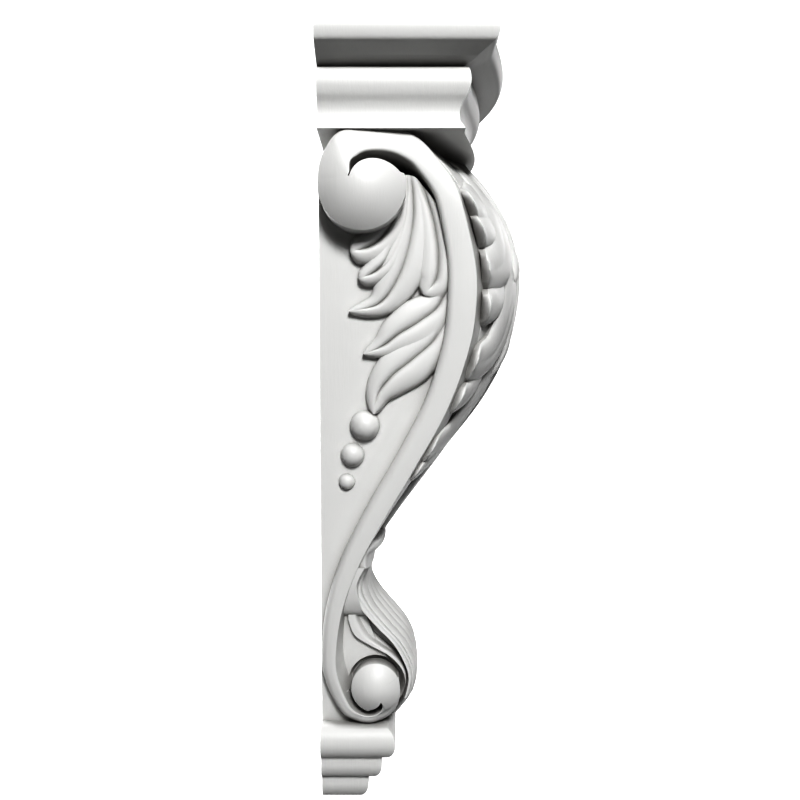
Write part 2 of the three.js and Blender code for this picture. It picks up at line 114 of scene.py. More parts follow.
# Front edge of the flat side panel, and the front of the shaft at the middle: [up, forward]
panelFront = curve([
    [0, 8], [3, 10.6], [6, 13], [10, 12], [14, 9.6], [18, 8], [22, 6.4], [27, 5.9], [31.8, 8.1], [38.7, 12.2],
    [45.6, 17.1], [52.4, 21], [59.2, 24.5], [66, 26.8], [72.7, 27.7], [81, 27.2], [89.9, 24.2], [93.8, 22],
    [97, 18.9], [100, 15.8],
])
middleFront = curve([
    [0, 13.8], [5, 16.3], [8.8, 16.8], [12.6, 15.3], [16.3, 12.2], [20.1, 9.3], [23.9, 8.2], [28.5, 9.4],
    [33.2, 11.5], [40.8, 16.8], [48.3, 22.9], [55.8, 28.7], [63.4, 32.9], [70.9, 35.1], [79.3, 35.9],
    [87.8, 34.1], [95.3, 29.8], [100, 25.6],
])
# Roundness of the front, and the middle of the side band where it passes the lower leaf
crownPower = curve([[0, 1.6], [40, 1.5], [80, 1.45], [92, 1.1], [100, 0.8]])
bandMiddle = curve([[3, 4], [8, 1.9], [12.5, 1.4], [20, 2.4], [28, 5], [36, 9.2]])


def frontAt(across, up, thickness):
    edge = panelFront(up)
    reach = middleFront(up) - thickness / share - edge
    out = min(abs(across) * share / halfWidthAt(up), 1)
    return edge + reach * (1 - out ** crownPower(up))


def onFront(side):  # a point on the front of the body, lifted away from it and a little sideways
    def place(across, up, lift):
        lean = across * share / halfWidthAt(up) * math.radians(block["lean"])
        return (
            side * (across * share + lift * math.sin(lean)),
            -frontAt(across, up, block["frontLeaf"]) * share - lift * math.cos(lean),
            heightAt(up),
        )
    return place


# Distances in metres under which points are joined, in each form and in the finished carving,
# the angle in degrees from which an edge is sharp, and how alike the directions of flat faces are
mending = {"weld": 1e-6, "merge": 1e-5, "sharpAngle": 36, "flat": 0.99999}


def solidFrom(points, faces):
    mesh = bpy.data.meshes.new("form")
    mesh.from_pydata([Vector(p) * millimetre for p in points], [], faces)
    form = bmesh.new()
    form.from_mesh(mesh)
    bmesh.ops.remove_doubles(form, verts=form.verts, dist=mending["weld"])
    bmesh.ops.triangulate(form, faces=[f for f in form.faces if len(f.verts) > 4])
    bmesh.ops.recalc_face_normals(form, faces=form.faces)
    if form.calc_volume(signed=True) < 0:
        bmesh.ops.reverse_faces(form, faces=form.faces)
    form.to_mesh(mesh)
    form.free()
    made = bpy.data.objects.new("form", mesh)
    bpy.context.collection.objects.link(made)
    return made


def loft(rings):  # closed solid through rings of points that all have the same count
    count = len(rings[0])
    faces = []
    for r in range(len(rings) - 1):
        for i in range(count):
            a, b = r * count + i, r * count + (i + 1) % count
            faces.append((a, b, b + count, a + count))
    faces.append(tuple(reversed(range(count))))
    faces.append(tuple((len(rings) - 1) * count + i for i in range(count)))
    return solidFrom([p for ring in rings for p in ring], faces)


def combine(first, others, operation="UNION"):  # joins the others to the first form, or cuts them out
    for other in others:
        step = first.modifiers.new("join", "BOOLEAN")
        step.operation = operation
        step.solver = "MANIFOLD"
        step.object = other
    graph = bpy.context.evaluated_depsgraph_get()
    mesh = bpy.data.meshes.new_from_object(first.evaluated_get(graph))
    first.modifiers.clear()
    first.data = mesh
    for other in others:
        bpy.data.objects.remove(other)
    return first


def bothSides(make):
    return [make(1), make(-1)]


cap = {
    "halfWidth": 118.3, "cornerDepth": 135.2,  # at the nose of the top moulding
    "bow": 14.8, "bowPower": 1.07,  # how far the middle stands out past the corners, and how fully
    "flat": 35,  # straight length of the front beside each corner
    "across": 72, "between": 5,  # points along the front, and rings between two rows
    # from the top down: [height below the top as a share of the cap, inset from the nose]
    "runs": [
        [[0, 15], [0.03, 8.5], [0.08, 4], [0.15, 1], [0.23, 0], [0.319, 2.2], [0.352, 6], [0.391, 12],
         [0.43, 19], [0.456, 26]],
        [[0.456, 26], [0.485, 21.5], [0.54, 20], [0.62, 19.7], [0.7, 21.9], [0.765, 25.6], [0.83, 27.6],
         [0.91, 27.4], [0.96, 25.4], [1, 23.7]],
    ],
}


def makeCap():
    def outline(inset, z):
        half = cap["halfWidth"] - inset
        bowed = cap["halfWidth"] - cap["flat"]
        front = []
        for out in steps(-1, 1, cap["across"]):
            turn = max(0, 1 - abs(out * half) / bowed)
            bow = cap["bow"] * math.sin(math.pi / 2 * turn ** cap["bowPower"])
            front.append((out * half, -(cap["cornerDepth"] - inset + bow), z))
        return [(-half, 0, z), *front, (half, 0, z)]

    top = shaftTop + block["capHeight"]
    rows = []
    for run in cap["runs"]:
        fine = path(run, cap["between"] * (len(run) - 1))
        rows += fine[1:] if rows else fine
    return loft([outline(max(inset, 0), top - down * block["capHeight"]) for down, inset in rows])


base = {
    "halfWidth": 68.1, "depth": 58.8, "step": 8.3, "stepDepth": 10.8,
    "torus": 26.2, "torusInset": 11.2, "ovolo": 18.3, "fillet": 5.8, "turns": 28,
    "ovoloDepth": 0.8,  # as a share of its rise
    "lap": 1,  # how far a moulding runs into the one above
}


def makeBase():
    def moulding(foot, half, depth, rows):
        rings = []
        for height, inset in rows:
            x, y, z = half - inset, -(depth - inset), foot + height
            rings.append([(-x, 0, z), (-x, y, z), (x, y, z), (x, 0, z)])
        return loft(rings)

    radius = base["torus"] / 2
    torus = []
    for angle in steps(-math.pi / 2, math.pi / 2, base["turns"]):
        torus.append((radius + radius * math.sin(angle), base["torusInset"] * (1 - math.cos(angle))))

    def ovolo(height):
        rise = height - base["fillet"]
        rows = []
        for angle in steps(0, math.pi / 2, base["turns"] // 2):
            depth = rise * (1 - math.sin(angle)) * base["ovoloDepth"]
            rows.append((rise * (1 - math.cos(angle)), depth))
        return rows + [(height + base["lap"], 0)]

    foot = -middleOfHeight
    lowest = block["baseHeight"] - base["torus"] - base["ovolo"]
    half, depth = base["halfWidth"], base["depth"]
    return [
        moulding(foot + lowest + base["ovolo"], half, depth, torus),
        moulding(foot + lowest, half - base["step"], depth - base["stepDepth"], ovolo(base["ovolo"])),
        moulding(foot, half - 2 * base["step"], depth - 2 * base["stepDepth"], ovolo(lowest)),
    ]


shaft = {
    "rings": 100, "across": 40,
    "lap": 1,  # how far it runs into the cap and the base, in shares
    "leafTop": 29, "leafFade": 2,  # below this height it steps back for the lower leaf, and over how much
}


def makeShaft():
    rings = []
    for up in steps(-shaft["lap"], 100 + shaft["lap"], shaft["rings"]):
        half = halfWidthAt(up)
        lower = block["lowerLeaf"] * ease((shaft["leafTop"] - up) / shaft["leafFade"])
        front = []
        for out in steps(-1, 1, shaft["across"]):
            forward = frontAt(out * half / share, up, block["frontLeaf"] + lower)
            front.append((out * half, -forward * share, heightAt(up)))
        rings.append([(-half, 0, heightAt(up)), *front, (half, 0, heightAt(up))])
    return loft(rings)


band = {
    "crown": 0.2,  # how far the face swells, as a share of the difference in height of its two edges
    "swell": 0.35,  # and how far more in any case
    "rings": 190, "across": 6, "backTurns": 6, "frontTurns": 5,
    "leaves": 1.2, "leaving": 4,  # stations at which the band leaves the upper dome, and over how many
    "joins": 1.6, "joining": 2.6,  # the same at the lower dome, counted from the end
    "under": 0.25,  # how far it lies below a dome that it runs into
    "round": curve([[0, 2], [8, 2.6], [12, 4.5], [15, 6.5], [28, 6.5]]),  # of the back edge, by station
    "frontRound": curve([[0, 4], [8, 4], [11, 1.2], [27, 0.8]]),  # of the front edge, by station
    # back edge and front edge as forward, up, then how far the face stands out along each edge,
    # and how far the front strip spreads
    "stations": [
        [5.6, 89.4, 0.4, 88.4, 29, 18, 0], [5.2, 90.9, 0.3, 92.4, 29, 18, 0],
        [5.5, 92.1, 0.8, 95.4, 30, 18.5, 0], [5.6, 93.9, 2.0, 98.0, 25, 17, 0],
        [6.4, 95.1, 3.0, 99.3, 19, 14, 0],
        [7.8, 96.1, 4.7, 100.3, 16, 11, 0], [10.0, 96.4, 9.1, 101.4, 13.5, 6, 0],
        [12.4, 96.1, 13.6, 100.8, 12.5, 5, 0], [14.6, 95.1, 17.0, 98.7, 12.5, 8, 0.2],
        [16.1, 93.8, 19.5, 95.9, 13, 10, 0.4], [18.6, 90.5, 22.5, 91.6, 13.5, 12.5, 0.9],
        [19.9, 87.2, 24.0, 87.2, 14, 14, 1.3], [21.4, 79.0, 26.0, 78.4, 14, 14, 1.5],
        [21.4, 72.1, 26.2, 71.8, 14, 14, 1.6], [20.6, 65.2, 25.1, 64.4, 13.5, 13.5, 1.5],
        [17.7, 55.8, 21.6, 54.4, 13, 13, 1.2], [12.6, 45.9, 16.1, 44.4, 12.5, 12.5, 0.9],
        [7.5, 37.0, 11.0, 35.8, 12, 12, 0.4], [3.3, 28.4, 6.6, 27.6, 11.5, 11.5, 0.2],
        [0.9, 20.4, 3.8, 20.0, 11, 11, 0.7], [0.1, 12.5, 2.7, 12.5, 11, 11, 1.5],
        [0.7, 7.6, 3.1, 8.1, 11, 11, 2.2], [3.3, 2.2, 4.9, 3.7, 11, 11, 1.6],
        [6.0, 0.5, 6.7, 2.1, 11, 11, 1], [8.6, 0.1, 8.7, 1.8, 11, 12, 0.6],
        [11.3, 1.0, 10.2, 2.6, 11, 14, 0], [13.0, 3.1, 10.6, 3.9, 11, 16, 0],
        [13.6, 5.9, 10.3, 5.0, 11, 17, 0], [13.3, 8.6, 10.8, 7.4, 11, 16, 0],
    ],
}

# An eye is a dome with a comma-shaped slit: where the slit starts, in degrees, how far round it runs,
# how far out it starts, as a share of the radius, and how late it runs out to the edge
upperEye = {
    "centre": (7.4, 90.5), "radius": 7.16, "lift": 19, "rise": 14,
    "slitAngle": 157, "slitTurn": 140, "slitShare": 0.29, "slitBend": 1.7,
}
lowerEye = {
    "centre": (9.4, 6.7), "radius": 4.16, "lift": 11.4, "rise": 8,
    "slitAngle": -65, "slitTurn": 40, "slitShare": 0.54, "slitBend": 1,
}
eyeShape = {
    "turns": 120,
    "slitEnd": 0.93,  # share of the radius at which the slit closes
    # sizes of the rings from the edge to the top of the dome
    "scales": (1, 0.985, 0.95, 0.9, 0.82, 0.72, 0.6, 0.48, 0.36, 0.24, 0.12, 0.03),
}


def domeLift(eye, forward, up):  # the eye's dome, carried on past its edge
    reach = math.hypot(forward - eye["centre"][0], up - eye["centre"][1]) / eye["radius"]
    return eye["lift"] + eye["rise"] * (1 - reach * reach)


def makeBand(side):
    place = onSide(side)
    bury = block["bury"]
    rings = []
    last = len(band["stations"]) - 1
    for k, station in enumerate(path(band["stations"], band["rings"])):
        back, front = station[:2], station[2:4]
        backLift, frontLift, spread = station[4:]
        width = math.hypot(front[0] - back[0], front[1] - back[1])
        spot = k / band["rings"] * last
        own = ease((spot - band["leaves"]) / band["leaving"])
        eye = upperEye
        if spot > last / 2:
            own, eye = ease((last - spot - band["joins"]) / band["joining"]), lowerEye

        def at(t, lift):
            forward, up = (b + (f - b) * t for b, f in zip(back, front))
            if own < 1 and lift > -bury:
                lift = lift * own + (domeLift(eye, forward, up) - band["under"]) * (1 - own)
            return place(forward, up, lift)

        rounding = band["round"](spot)
        edge = rounding / share / width
        ring = [at(0, -bury)]
        for turn in steps(0, math.pi / 2, band["backTurns"]):  # rounded back edge
            fall = rounding * (1 - math.sin(turn))
            ring.append(at(edge * (1 - math.cos(turn)), backLift - fall))
        swell = band["crown"] * abs(backLift - frontLift) + band["swell"]
        drop = band["frontRound"](spot)
        brink = 1 - drop / share / width
        for t in steps(edge, brink, band["across"])[1:]:
            flat = (t - edge) / (1 - edge)
            lift = backLift + (frontLift - backLift) * flat + 4 * swell * flat * (1 - flat)
            ring.append(at(t, lift))
        for turn in steps(0, math.pi / 2, band["frontTurns"])[1:]:  # rounded front edge, from the last lift
            t = brink + (1 - brink) * math.sin(turn)
            ring.append(at(t, lift + (frontLift - drop - lift) * (1 - math.cos(turn))))
        ring.append(at(1 + spread / width, -bury))
        rings.append(ring)
    return loft(rings)


def eyeEdge(eye, turned):
    along = (turned / eye["slitTurn"]) ** eye["slitBend"]
    return eye["slitShare"] + (eyeShape["slitEnd"] - eye["slitShare"]) * along if along < 1 else 1


def makeEye(side, eye):
    centreForward, centreUp = eye["centre"]

    def ring(scale, sunk=False):
        out = []
        for turned in steps(0, 360, eyeShape["turns"]):
            reach = eyeEdge(eye, turned) * scale
            turn = math.radians(eye["slitAngle"] - turned)
            forward = centreForward + eye["radius"] * reach * math.cos(turn)
            up = centreUp + eye["radius"] * reach * math.sin(turn)
            lift = -block["bury"] if sunk else eye["lift"] + eye["rise"] * (1 - reach * reach)
            out.append((side * (halfWidthAt(centreUp) + lift), -forward * share, heightAt(up)))
        return out

    return loft([ring(1, True)] + [ring(scale) for scale in eyeShape["scales"]])


def prism(outline, near, far, side):  # outline as [forward, up], carried from near to far across
    def ring(x):
        return [(side * x, -forward * share, heightAt(up)) for forward, up in outline]
    return loft([ring(near), ring(far)])


slot = {
    "web": 50,  # wood left in the middle between the two slots
    # points along the whole band, the one where the slot starts and one that is past the band's top
    "bandPoints": 120, "from": 9, "crest": 27,
    "end": 87.6,  # height at which it leaves the band
    "eyeTurn": 120, "eyePoints": 24,  # degrees that it runs round the eye
    "leafEdge": [[18.2, 90.2], [16.4, 92.4], [14.8, 93], [13.2, 92.6]], "leafPoints": 12,
}


def makeSlot(side):
    fine = path(band["stations"], slot["bandPoints"])
    end = next(i for i, row in enumerate(fine) if i > slot["crest"] and row[1] < slot["end"])
    bandEdge = [(row[0], row[1]) for row in fine[slot["from"]:end]]
    eyeEdges = []
    for turned in steps(0, slot["eyeTurn"], slot["eyePoints"]):
        reach = upperEye["radius"] * eyeEdge(upperEye, turned)
        turn = math.radians(upperEye["slitAngle"] - turned)
        centreForward, centreUp = upperEye["centre"]
        eyeEdges.append((centreForward + reach * math.cos(turn), centreUp + reach * math.sin(turn)))
    outline = [*bandEdge, *path(slot["leafEdge"], slot["leafPoints"]), *reversed(eyeEdges)]
    return prism(outline, slot["web"] / 2, block["halfTop"] + 2 * sideLeaf["lift"], side)


# The gap behind the upper scroll, whose round side runs between two angles in degrees
scrollBack = {
    "centre": (9.9, 93), "radius": 9.2, "from": 189, "to": 100, "turns": 40,
    "behind": -1, "foot": 91.5, "top": 104,
}


def makeScrollGap():
    centreForward, centreUp = scrollBack["centre"]
    arc = []
    for angle in steps(scrollBack["from"], scrollBack["to"], scrollBack["turns"]):
        turn = math.radians(angle)
        reach = scrollBack["radius"]
        arc.append((centreForward + reach * math.cos(turn), centreUp + reach * math.sin(turn)))
    wide = block["halfTop"] + block["bury"]
    behind = scrollBack["behind"]
    return prism([(behind, scrollBack["foot"]), *arc, (behind, scrollBack["top"])], -wide, wide, 1)


recess = {
    "width": 5.4, "floorWidth": 0.2,  # round the lower eye
    "depth": 5, "top": 42,  # below and above the side panel
    "raise": 0.3, "turns": 96,
}


def makeRecess(side):
    place = onSide(side)
    centreForward, centreUp = lowerEye["centre"]

    def ring(lift, width):
        reach = lowerEye["radius"] + width / share
        out = []
        for angle in steps(0, 2 * math.pi, recess["turns"])[:-1]:
            forward = centreForward + reach * math.cos(angle)
            up = centreUp + recess["raise"] + reach * math.sin(angle)
            out.append(place(forward, up, lift))
        return out

    return loft([
        ring(-recess["depth"], recess["floorWidth"]),
        ring(block["lowerLeaf"], recess["width"]),
        ring(recess["top"], recess["width"]),
    ])


beads = {
    "sink": 0.7, "tilts": 24, "turns": 48,
    "rows": [[7.6, 51.5, 2.57], [5.5, 46.5, 2.06], [4.5, 41.9, 1.42]],  # forward, up, radius
}

# How every lobe of both leaves is shaped, in shares of its length, width or height
lobeShape = {
    "root": 0.4, "widens": 0.5,  # width at the root, and how far along the full width comes
    "climbs": 0.75,  # how far along the full height comes
    "narrows": 0.4, "narrowing": 0.61,  # where the tip starts, and over how much it closes
    "point": 0.6,  # how pointed the tip is, where the lobe doesn't say
    "tipLift": 0.55,  # height that is left at the tip
    "veinEnds": 0.97, "veinFade": 0.25,
    "square": 2.4, "swell": 1.06,  # how square the section is, and how full
    "across": 32,
}

sideLeaf = {
    "lift": 9, "vein": 0.5, "veinWidth": 0.13, "rootLift": 0.7, "stations": 36,
    # from the root to the tip as [forward, up], with the width in shares
    "lobes": [
        {"spine": [[14, 93.5], [13.2, 86.8], [10.6, 82.9], [8.2, 81.2], [5.3, 80.4]], "width": 6.4, "tip": 4},
        {"spine": [[14.6, 93.8], [13.9, 85.8], [11.8, 79.9], [9.6, 77.3], [6.7, 75.9]], "width": 5, "tip": 4},
        {"spine": [[15.1, 94], [15.7, 86.2], [14.6, 79.8], [12.5, 74.8], [9.7, 71.7], [5, 70.6]],
         "width": 8.8, "tip": 1.4, "point": 0.85},
        {"spine": [[16, 94], [18.6, 87.6], [19.8, 81.8], [19.9, 77.5], [19.2, 75.2], [17.5, 73.4]],
         "width": 7.4, "tip": 3.5},
        {"spine": [[22, 77], [20.2, 71.8], [16.9, 69], [13.3, 66.8], [10.6, 64.8], [7.4, 63.5]],
         "width": 8.8, "tip": 1.4, "point": 0.85},
        {"spine": [[21.6, 70.4], [19.4, 66], [15.9, 62.8], [12.4, 60], [10, 57], [9.1, 53.4]],
         "width": 8.8, "tip": 1.6, "point": 0.8},
    ],
}

frontLeaf = {
    "lift": 8, "vein": 0.12, "veinWidth": 0.2, "rootLift": 0.4, "stations": 30,
    # three tiers of fingers beside the midrib, as [across, up] from the root to the tip
    "lobes": [
        {"spine": [[3.6, 99], [6.4, 92.6], [9, 86], [12, 79.6], [17.8, 76.6]], "width": 9, "tip": 6},
        {"spine": [[11.4, 92.8], [13.8, 89.4], [18.6, 87.4]], "width": 6.2, "tip": 6, "vein": 0},
        {"spine": [[11, 88.8], [13.4, 85.4], [18.4, 83.4]], "width": 6.2, "tip": 6, "vein": 0},
        {"spine": [[1.2, 88], [3.4, 82], [5.2, 77.4]], "width": 3.8, "tip": 2},
        {"spine": [[2.6, 84.6], [5.4, 76.8], [8, 70], [11, 63.8], [16.8, 61.4]], "width": 8.6, "tip": 6},
        {"spine": [[10.6, 76.4], [13, 72.8], [17.6, 70.4]], "width": 6.4, "tip": 6, "vein": 0},
        {"spine": [[1.2, 72.4], [3.4, 66], [6, 60]], "width": 3.8, "tip": 2},
        {"spine": [[2.4, 69], [5, 61.4], [7.6, 54.6], [10.4, 49.2], [15.8, 47]], "width": 7.6, "tip": 6},
        {"spine": [[10, 61], [12.2, 57.4], [16.4, 55.2]], "width": 5.6, "tip": 6, "vein": 0},
        {"spine": [[5.8, 53], [8.6, 47.4], [14.6, 42.8]], "width": 5.4, "tip": 6, "vein": 0},
        {"spine": [[1.4, 56], [3.6, 48.4], [5.4, 41], [6.2, 32.6]], "width": 6.8, "tip": 2},
    ],
}


def makeBead(side, forward, up, radius):
    place = onSide(side)
    x, y, z = place(forward, up, -beads["sink"])
    reach = radius * share
    rings = []
    for tilt in steps(-math.pi / 2, math.pi / 2, beads["tilts"])[1:-1]:
        ring = []
        for turn in steps(0, 2 * math.pi, beads["turns"])[:-1]:
            flat = reach * math.cos(tilt)
            ring.append((x + reach * math.sin(tilt), y + flat * math.cos(turn), z + flat * math.sin(turn)))
        rings.append(ring)
    return loft(rings)


def makeLobe(place, lobe, leaf):  # rounded across, with two soft ridges and a vein between them
    count = leaf["stations"]
    spine = path(lobe["spine"], count)
    bury = block["bury"]
    rings = []
    for i, (a, b) in enumerate(spine):
        t = i / count
        before, after = spine[max(i - 1, 0)], spine[min(i + 1, count)]
        along = Vector((after[0] - before[0], after[1] - before[1])).normalized()
        widened = math.sin(math.pi / 2 * min(t / lobeShape["widens"], 1))
        grow = lobeShape["root"] + (1 - lobeShape["root"]) * widened
        climb = leaf["rootLift"] + (1 - leaf["rootLift"]) * ease(t / lobeShape["climbs"])
        narrowed = max((t - lobeShape["narrows"]) / lobeShape["narrowing"], 0)
        close = (1 - narrowed ** lobe["tip"]) ** lobe.get("point", lobeShape["point"])
        half = lobe["width"] / 2 * grow * close
        top = leaf["lift"] * (lobeShape["tipLift"] + (1 - lobeShape["tipLift"]) * close) * climb
        vein = lobe.get("vein", leaf["vein"]) * ease((lobeShape["veinEnds"] - t) / lobeShape["veinFade"])
        ring = [place(a + along.y * half, b - along.x * half, -bury)]
        for out in steps(-1, 1, lobeShape["across"])[1:-1]:
            body = (1 - abs(out) ** lobeShape["square"]) ** 0.5
            groove = vein * math.exp(-abs(out) / leaf["veinWidth"])
            lift = top * body * (1 - groove) * lobeShape["swell"]
            ring.append(place(a - along.y * half * out, b + along.x * half * out, lift))
        ring.append(place(a - along.y * half, b + along.x * half, -bury))
        rings.append(ring)
    return loft(rings)


def makeLeaf(place, leaf):
    return [makeLobe(place, lobe, leaf) for lobe in leaf["lobes"]]


midrib = {
    "width": 15, "footWidth": 0.5,  # at the top, and the share of it that is left at the foot
    "lift": 3.9, "square": 2.2, "ridge": 1.6,  # the rounded rib, how square it is, and the ridge along it
    "groove": 1.6, "grooveAt": 0.42, "grooveWidth": 0.09,  # one groove on each half
    "from": 31.5, "to": 101, "rings": 80, "across": 36,
}


def makeMidrib():
    rings = []
    for up in steps(midrib["from"], midrib["to"], midrib["rings"]):
        half = midrib["width"] / 2 * (midrib["footWidth"] + (1 - midrib["footWidth"]) * up / 100)
        section = [(-1, -block["bury"])]
        for out in steps(-1, 1, midrib["across"]):
            reach = abs(out)
            groove = math.exp(-(((reach - midrib["grooveAt"]) / midrib["grooveWidth"]) ** 2))
            rib = midrib["lift"] * (1 - reach ** midrib["square"])
            section.append((out, rib + midrib["ridge"] * (1 - reach) - midrib["groove"] * groove))
        section.append((1, -block["bury"]))
        rings.append([onFront(1)(out * half / share, up, lift) for out, lift in section])
    return loft(rings)


collar = {
    "rings": 40, "across": 64,
    "sidePower": 0.8, "frontPower": 0.9,  # fullness of the corners and of the front
    # height, how far forward at the sides and at the middle, and how far it stands off the sides
    "rows": [
        [27.2, 7.6, 8.9, 8.3], [28.2, 7.5, 8.9, 8.6], [29, 7.4, 9.2, 9], [29.6, 7.4, 9.8, 9.4],
        [30.1, 7.5, 10.5, 9.6], [30.6, 7.6, 10.85, 9.6], [31.1, 7.6, 10.8, 9.5], [31.6, 7.5, 10.3, 9.1],
        [31.9, 7.2, 9.4, 8.5],
    ],
}


def makeCollar():
    rings = []
    for up, edge, middle, lift in path(collar["rows"], collar["rings"]):
        half = halfWidthAt(up) + lift
        front = []
        for turn in steps(-math.pi / 2, math.pi / 2, collar["across"]):
            out = math.copysign(abs(math.sin(turn)) ** collar["sidePower"], turn)
            forward = edge + (middle - edge) * max(math.cos(turn), 0) ** collar["frontPower"]
            front.append((out * half, -forward * share, heightAt(up)))
        back = -bandMiddle(up) * share
        rings.append([(-half, back, heightAt(up)), *front, (half, back, heightAt(up))])
    return loft(rings)


lowerLeaf = {
    "tuck": 4.5,  # height in shares under which the leaf turns in behind the lower eyes
    "flutes": 6,  # an even number, so that both edges are ridges
    "fluteDepth": 3.8, "flutePower": 0.7,  # the power makes the ridges between the flutes sharper
    "lip": 2.2, "lipAt": 0.42, "lipWidth": 0.11,  # the line beside the rolled edge
    "square": 2.7, "crownPower": 0.37,  # roundness of the front
    "least": 0.4,  # least depth of the front, and of the edge, in shares
    "rings": 90, "across": 180,
    # for each layer its top, its thickness as a share of the leaf's, how far its middle lies back
    # and how far forward its edge is at each height
    "layers": [
        {"top": 27.2, "thickness": 1, "inset": 0, "edge": curve([
            [0, 12], [3, 13.6], [5.8, 14.7], [8.6, 15], [11.6, 13.9], [14.3, 12.2], [16.9, 9.7], [20.1, 6.9],
            [22.4, 5.3], [25, 5.8], [27.2, 7.4],
        ])},
        {"top": 19, "thickness": 0.65, "inset": 1, "edge": curve([
            [0, 12], [3.6, 12.8], [6.2, 14], [8.6, 14.1], [10.4, 13.2], [12.1, 11.3], [13.6, 8.5],
            [15.3, 5.9], [18.1, 4.7],
        ])},
    ],
}


def makeLayer(layer):
    rings = []
    for up in steps(0, layer["top"], lowerLeaf["rings"]):
        z = heightAt(up)
        tuck = max(lowerLeaf["tuck"] - up, 0) * share
        half = halfWidthAt(up) + block["lowerLeaf"] * layer["thickness"] - tuck
        edge = layer["edge"](up)
        reach = max(middleFront(up) - layer["inset"] - edge, lowerLeaf["least"])
        front = []
        for turn in steps(-math.pi / 2, math.pi / 2, lowerLeaf["across"]):
            out = math.sin(turn)
            wave = abs(math.cos(lowerLeaf["flutes"] * out * math.pi / 2)) ** lowerLeaf["flutePower"]
            crown = max(1 - abs(out) ** lowerLeaf["square"], 0) ** lowerLeaf["crownPower"]
            line = math.exp(-(((crown - lowerLeaf["lipAt"]) / lowerLeaf["lipWidth"]) ** 2))
            flute = (wave - 1) * lowerLeaf["fluteDepth"] - lowerLeaf["lip"] * line
            front.append((
                half * out + out * flute,
                -(edge + reach * crown) * share - math.cos(turn) * flute,
                z,
            ))
        underside = -(edge - lowerLeaf["least"]) * share
        back = -bandMiddle(up) * share
        root = halfWidthAt(up) - block["bury"] - tuck
        rings.append([*front, (root, underside, z), (root, back, z), (-root, back, z), (-root, underside, z)])
    return loft(rings)


# Rolled side of the leaf between the band and the lower leaf, and the web under it,
# as height, how far it stands off the sides and how far forward it reaches
web = {
    "rings": 24,
    "roll": [
        [18.6, 0.6, 7.6], [19, 3.6, 7.5], [19.9, 6.4, 7.2], [21.5, 8.8, 6.6], [24, 10.4, 6.2],
        [25.6, 10.9, 6.6], [27.4, 11, 7.6],
    ],
    "plate": [[4, 1, 12], [8, 1, 12.6], [12, 1, 11], [15.3, 1, 7.5], [19, 1, 5.5]],
}


def makeSlab(rows):
    rings = []
    for up, lift, front in path(rows, web["rings"]):
        x, z, back = halfWidthAt(up) + lift, heightAt(up), -bandMiddle(up) * share
        rings.append([(-x, back, z), (-x, -front * share, z), (x, -front * share, z), (x, back, z)])
    return loft(rings)


def cleanMesh(mesh):  # joins points that nearly meet and takes out faces with no area
    form = bmesh.new()
    form.from_mesh(mesh)
    bmesh.ops.triangulate(form, faces=form.faces)
    bmesh.ops.remove_doubles(form, verts=form.verts, dist=mending["merge"])
    bmesh.ops.dissolve_degenerate(form, edges=form.edges, dist=mending["merge"])
    form.to_mesh(mesh)
    form.free()
    mesh.validate()


def shadeMesh(mesh):  # smooth up to the sharp angle, while the flat sides and the back stay flat
    mesh.shade_smooth()
    mesh.set_sharp_from_angle(angle=math.radians(mending["sharpAngle"]))
    panel = Vector((1, 0, -(block["halfTop"] - block["halfBottom"]) / block["shaftHeight"])).normalized()
    for face in mesh.polygons:
        across = Vector((abs(face.normal.x), face.normal.y, face.normal.z))
        face.use_smooth = across.dot(panel) < mending["flat"] and face.normal.y < mending["flat"]


def carveCorbel():
    body = combine(makeShaft(), [*makeLeaf(onSide(1), sideLeaf), *makeLeaf(onSide(-1), sideLeaf)])
    body = combine(body, [*bothSides(makeSlot), makeScrollGap()], "DIFFERENCE")
    print("shaft, side leaves and slots done")
    slabs = [makeSlab(web["roll"]), makeSlab(web["plate"])]
    body = combine(body, slabs + [makeLayer(layer) for layer in lowerLeaf["layers"]])
    body = combine(body, bothSides(makeRecess), "DIFFERENCE")
    print("lower leaf done")
    forms = [makeCap(), *makeBase(), makeMidrib(), makeCollar()]
    for side in (1, -1):
        forms += [makeBand(side), makeEye(side, upperEye), makeEye(side, lowerEye)]
        forms += makeLeaf(onFront(side), frontLeaf)
        forms += [makeBead(side, *row) for row in beads["rows"]]
    body = combine(body, forms)
    body.name = "corbelCarving"
    body.data.name = "corbelCarving"
    cleanMesh(body.data)
    shadeMesh(body.data)
    return body


corbel = carveCorbel()
print("corbel carved:", len(corbel.data.polygons), "faces")


class Wire:  # a shader socket that takes part in sums
    def __init__(self, tree, socket):
        self.tree, self.socket = tree, socket

    def maths(self, operation, a, b=None):
        node = self.tree.nodes.new("ShaderNodeMath")
        node.operation = operation
        for k, value in enumerate((a, b)):
            if isinstance(value, Wire):
                self.tree.links.new(value.socket, node.inputs[k])
            elif value is not None:
                node.inputs[k].default_value = value
        return Wire(self.tree, node.outputs[0])

    def __add__(self, other):
        return self.maths("ADD", self, other)

    def __radd__(self, other):
        return self.maths("ADD", other, self)

    def __sub__(self, other):
        return self.maths("SUBTRACT", self, other)

    def __rsub__(self, other):
        return self.maths("SUBTRACT", other, self)

    def __mul__(self, other):
        return self.maths("MULTIPLY", self, other)

    def __rmul__(self, other):
        return self.maths("MULTIPLY", other, self)


